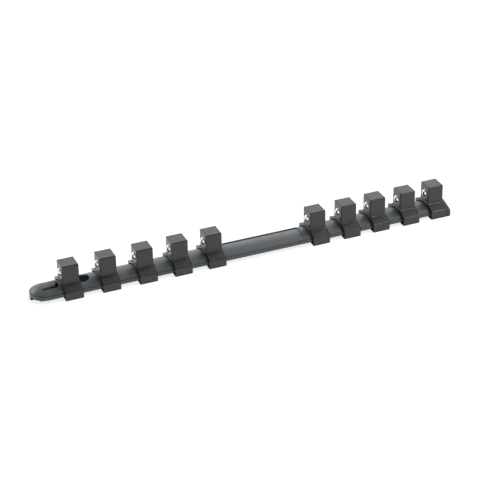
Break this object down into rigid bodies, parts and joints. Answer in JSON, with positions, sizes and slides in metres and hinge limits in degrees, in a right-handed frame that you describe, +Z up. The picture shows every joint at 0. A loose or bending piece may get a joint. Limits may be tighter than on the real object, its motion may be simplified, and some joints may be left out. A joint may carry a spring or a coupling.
{
  "type": "socket rail",
  "caption": "Long domed plastic rail with a round hanging tip, an end stop and sliding clips, each a square post with a sprung ball that holds a half-inch drive socket.",
  "frame": {"origin": "on the bench plane, under the middle of the rail's length and width", "axes": "+X along the rail from the round tip to the end plate, +Y to the rear, +Z up along the posts"},
  "size_m": [0.3325, 0.027, 0.024],
  "materials": {
    "rail_plastic": "satin moulded, dark blue-grey",
    "clip_plastic": "fine satin, dark neutral grey",
    "ball_chrome": "polished",
    "spring_steel": "bright wire"
  },
  "bodies": {
    "rail": {"rail": "rail_plastic", "end_plate": "clip_plastic"},
    "stop_tongue": {"stop_tongue": "rail_plastic"},
    "clip_1": {"clip_1": "clip_plastic", "detent_spring_1": "spring_steel"},
    "detent_ball_1": {"detent_ball_1": "ball_chrome"},
    "clip_2": {"clip_2": "clip_plastic", "detent_spring_2": "spring_steel"},
    "detent_ball_2": {"detent_ball_2": "ball_chrome"},
    "clip_3": {"clip_3": "clip_plastic", "detent_spring_3": "spring_steel"},
    "detent_ball_3": {"detent_ball_3": "ball_chrome"},
    "clip_4": {"clip_4": "clip_plastic", "detent_spring_4": "spring_steel"},
    "detent_ball_4": {"detent_ball_4": "ball_chrome"},
    "clip_5": {"clip_5": "clip_plastic", "detent_spring_5": "spring_steel"},
    "detent_ball_5": {"detent_ball_5": "ball_chrome"},
    "clip_6": {"clip_6": "clip_plastic", "detent_spring_6": "spring_steel"},
    "detent_ball_6": {"detent_ball_6": "ball_chrome"},
    "clip_7": {"clip_7": "clip_plastic", "detent_spring_7": "spring_steel"},
    "detent_ball_7": {"detent_ball_7": "ball_chrome"},
    "clip_8": {"clip_8": "clip_plastic", "detent_spring_8": "spring_steel"},
    "detent_ball_8": {"detent_ball_8": "ball_chrome"},
    "clip_9": {"clip_9": "clip_plastic", "detent_spring_9": "spring_steel"},
    "detent_ball_9": {"detent_ball_9": "ball_chrome"},
    "clip_10": {"clip_10": "clip_plastic", "detent_spring_10": "spring_steel"},
    "detent_ball_10": {"detent_ball_10": "ball_chrome"}
  },
  "joints": [
    {"name": "stop_tongue_flex", "type": "hinge", "parent": "rail", "child": "stop_tongue", "pos_m": [-0.15765, 0, 0.00645], "axis": [0, 1, 0], "range_deg": [0, 10.5], "stiffness_Nm_per_rad": 0.8},
    {"name": "clip_1_slide", "type": "slide", "parent": "rail", "child": "clip_1", "axis": [1, 0, 0], "range_m": [-0.002, 0.01326]},
    {"name": "clip_2_slide", "type": "slide", "parent": "rail", "child": "clip_2", "axis": [1, 0, 0], "range_m": [-0.01326, 0.01326]},
    {"name": "clip_3_slide", "type": "slide", "parent": "rail", "child": "clip_3", "axis": [1, 0, 0], "range_m": [-0.01326, 0.01216]},
    {"name": "clip_4_slide", "type": "slide", "parent": "rail", "child": "clip_4", "axis": [1, 0, 0], "range_m": [-0.01216, 0.01176]},
    {"name": "clip_5_slide", "type": "slide", "parent": "rail", "child": "clip_5", "axis": [1, 0, 0], "range_m": [-0.01176, 0.06906]},
    {"name": "clip_6_slide", "type": "slide", "parent": "rail", "child": "clip_6", "axis": [1, 0, 0], "range_m": [-0.06906, 0.01066]},
    {"name": "clip_7_slide", "type": "slide", "parent": "rail", "child": "clip_7", "axis": [1, 0, 0], "range_m": [-0.01066, 0.00956]},
    {"name": "clip_8_slide", "type": "slide", "parent": "rail", "child": "clip_8", "axis": [1, 0, 0], "range_m": [-0.00956, 0.01046]},
    {"name": "clip_9_slide", "type": "slide", "parent": "rail", "child": "clip_9", "axis": [1, 0, 0], "range_m": [-0.01046, 0.00906]},
    {"name": "clip_10_slide", "type": "slide", "parent": "rail", "child": "clip_10", "axis": [1, 0, 0], "range_m": [-0.00906, 0]},
    {"name": "detent_ball_1_press", "type": "slide", "parent": "clip_1", "child": "detent_ball_1", "axis": [1, 0, 0], "range_m": [0, 0.0017], "stiffness_N_per_m": 1000, "springref_m": -0.0005, "deforming": ["detent_spring_1"]},
    {"name": "detent_ball_2_press", "type": "slide", "parent": "clip_2", "child": "detent_ball_2", "axis": [1, 0, 0], "range_m": [0, 0.0017], "stiffness_N_per_m": 1000, "springref_m": -0.0005, "deforming": ["detent_spring_2"]},
    {"name": "detent_ball_3_press", "type": "slide", "parent": "clip_3", "child": "detent_ball_3", "axis": [1, 0, 0], "range_m": [0, 0.0017], "stiffness_N_per_m": 1000, "springref_m": -0.0005, "deforming": ["detent_spring_3"]},
    {"name": "detent_ball_4_press", "type": "slide", "parent": "clip_4", "child": "detent_ball_4", "axis": [1, 0, 0], "range_m": [0, 0.0017], "stiffness_N_per_m": 1000, "springref_m": -0.0005, "deforming": ["detent_spring_4"]},
    {"name": "detent_ball_5_press", "type": "slide", "parent": "clip_5", "child": "detent_ball_5", "axis": [1, 0, 0], "range_m": [0, 0.0017], "stiffness_N_per_m": 1000, "springref_m": -0.0005, "deforming": ["detent_spring_5"]},
    {"name": "detent_ball_6_press", "type": "slide", "parent": "clip_6", "child": "detent_ball_6", "axis": [1, 0, 0], "range_m": [0, 0.0017], "stiffness_N_per_m": 1000, "springref_m": -0.0005, "deforming": ["detent_spring_6"]},
    {"name": "detent_ball_7_press", "type": "slide", "parent": "clip_7", "child": "detent_ball_7", "axis": [1, 0, 0], "range_m": [0, 0.0017], "stiffness_N_per_m": 1000, "springref_m": -0.0005, "deforming": ["detent_spring_7"]},
    {"name": "detent_ball_8_press", "type": "slide", "parent": "clip_8", "child": "detent_ball_8", "axis": [1, 0, 0], "range_m": [0, 0.0017], "stiffness_N_per_m": 1000, "springref_m": -0.0005, "deforming": ["detent_spring_8"]},
    {"name": "detent_ball_9_press", "type": "slide", "parent": "clip_9", "child": "detent_ball_9", "axis": [1, 0, 0], "range_m": [0, 0.0017], "stiffness_N_per_m": 1000, "springref_m": -0.0005, "deforming": ["detent_spring_9"]},
    {"name": "detent_ball_10_press", "type": "slide", "parent": "clip_10", "child": "detent_ball_10", "axis": [1, 0, 0], "range_m": [0, 0.0017], "stiffness_N_per_m": 1000, "springref_m": -0.0005, "deforming": ["detent_spring_10"]}
  ]
}
